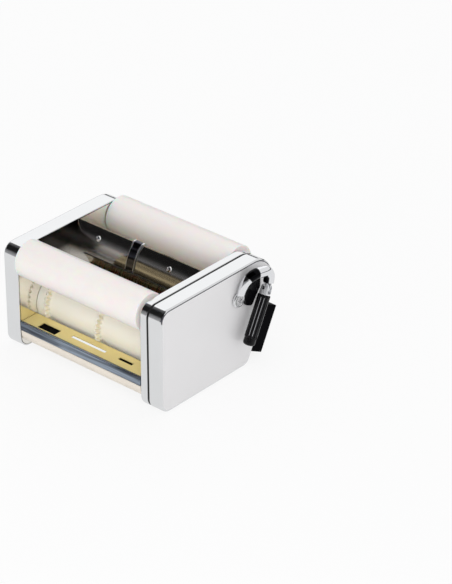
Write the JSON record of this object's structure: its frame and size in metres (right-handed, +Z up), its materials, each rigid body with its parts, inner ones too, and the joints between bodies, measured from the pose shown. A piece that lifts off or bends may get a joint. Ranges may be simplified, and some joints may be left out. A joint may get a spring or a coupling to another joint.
{
  "type": "pasta machine",
  "caption": "Hand-cranked filled-pasta unit: chromed side housings, smooth dough rollers over pocketed forming rollers, a central hopper and a crank whose grip folds flat.",
  "frame": {"origin": "on the floor under the middle of the whole unit, crank included", "axes": "+X towards the crank side, +Y to the back, +Z up"},
  "size_m": [0.2212, 0.174, 0.1153],
  "materials": {
    "chrome": "polished",
    "steel": "satin",
    "white_plastic": "soft gloss",
    "cream_plastic": "soft gloss",
    "black_plastic": "gloss",
    "brass": "satin",
    "rubber": "matte"
  },
  "bodies": {
    "frame": {"apron": "cream_plastic", "bracket_screw_left_1": "steel", "bracket_screw_left_2": "steel", "bracket_screw_right_1": "steel", "bracket_screw_right_2": "steel", "cap_left": "chrome", "cover_gasket": "rubber", "cover_right": "chrome", "crank_bush_cover": "steel", "crank_bush_frame": "steel", "cross_bar_front": "steel", "cross_bar_rear": "steel", "docking_bracket_left": "black_plastic", "docking_bracket_right": "black_plastic", "dough_bush_front_left": "steel", "dough_bush_front_right": "steel", "dough_bush_rear_left": "steel", "dough_bush_rear_right": "steel", "forming_bush_front_left": "steel", "forming_bush_front_right": "steel", "forming_bush_rear_left": "steel", "forming_bush_rear_right": "steel", "frame_plate_left": "chrome", "frame_plate_right": "chrome", "hopper_rivet_left": "steel", "hopper_rivet_right": "steel", "hopper_strap": "chrome", "hopper_wall_front": "chrome", "hopper_wall_rear": "chrome", "rear_guard": "chrome", "stripper_block_left": "black_plastic", "stripper_block_right": "black_plastic", "stripper_plate": "brass", "tie_rod_front": "steel", "tie_rod_rear": "steel"},
    "rear_forming_roller": {"forming_roller_rear": "cream_plastic", "forming_shaft_rear": "steel", "forming_gear_rear": "steel", "forming_retainer_rear_left": "steel", "forming_retainer_rear_right": "steel"},
    "front_forming_roller": {"forming_roller_front": "cream_plastic", "forming_shaft_front": "steel", "forming_gear_front": "steel", "forming_retainer_front_left": "steel", "forming_retainer_front_right": "steel"},
    "front_dough_roller": {"dough_roller_front": "white_plastic", "dough_axle_front": "steel"},
    "rear_dough_roller": {"dough_roller_rear": "white_plastic", "dough_axle_rear": "steel"},
    "crank": {"crank_shaft": "steel", "crank_pinion": "steel", "crank_retainer": "steel", "crank_hub": "chrome", "crank_screw": "steel", "crank_arm": "chrome", "grip_rest": "black_plastic", "fold_pin": "steel"},
    "grip_frame": {"grip_spindle": "chrome", "grip_cap": "black_plastic"},
    "grip": {"grip_sleeve": "black_plastic"}
  },
  "joints": [
    {"name": "rear_roller_turn", "type": "hinge", "parent": "frame", "child": "rear_forming_roller", "pos_m": [-0.0124, 0.02544, 0.039], "axis": [1, 0, 0], "continuous": true},
    {"name": "front_roller_turn", "type": "hinge", "parent": "frame", "child": "front_forming_roller", "pos_m": [-0.0124, -0.03176, 0.039], "axis": [1, 0, 0], "continuous": true},
    {"name": "crank_turn", "type": "hinge", "parent": "frame", "child": "crank", "pos_m": [0.0942, 0.02544, 0.07964], "axis": [1, 0, 0], "continuous": true},
    {"name": "front_dough_roller_turn", "type": "hinge", "parent": "frame", "child": "front_dough_roller", "pos_m": [-0.0124, -0.06771, 0.096], "axis": [1, 0, 0], "continuous": true},
    {"name": "rear_dough_roller_turn", "type": "hinge", "parent": "frame", "child": "rear_dough_roller", "pos_m": [-0.0124, 0.05929, 0.093], "axis": [1, 0, 0], "continuous": true},
    {"name": "grip_fold", "type": "hinge", "parent": "crank", "child": "grip_frame", "pos_m": [0.1042, 0.05636, 0.08231], "axis": [0, -0.8893, 0.4573], "range_deg": [0, 90]},
    {"name": "grip_spin", "type": "hinge", "parent": "grip_frame", "child": "grip", "pos_m": [0.1042, 0.04264, 0.05563], "axis": [0, -0.4573, -0.8893], "continuous": true}
  ],
  "couplings": [
    {"joint": "front_roller_turn", "follows": "rear_roller_turn", "ratio": -1},
    {"joint": "crank_turn", "follows": "rear_roller_turn", "ratio": -2.375}
  ]
}
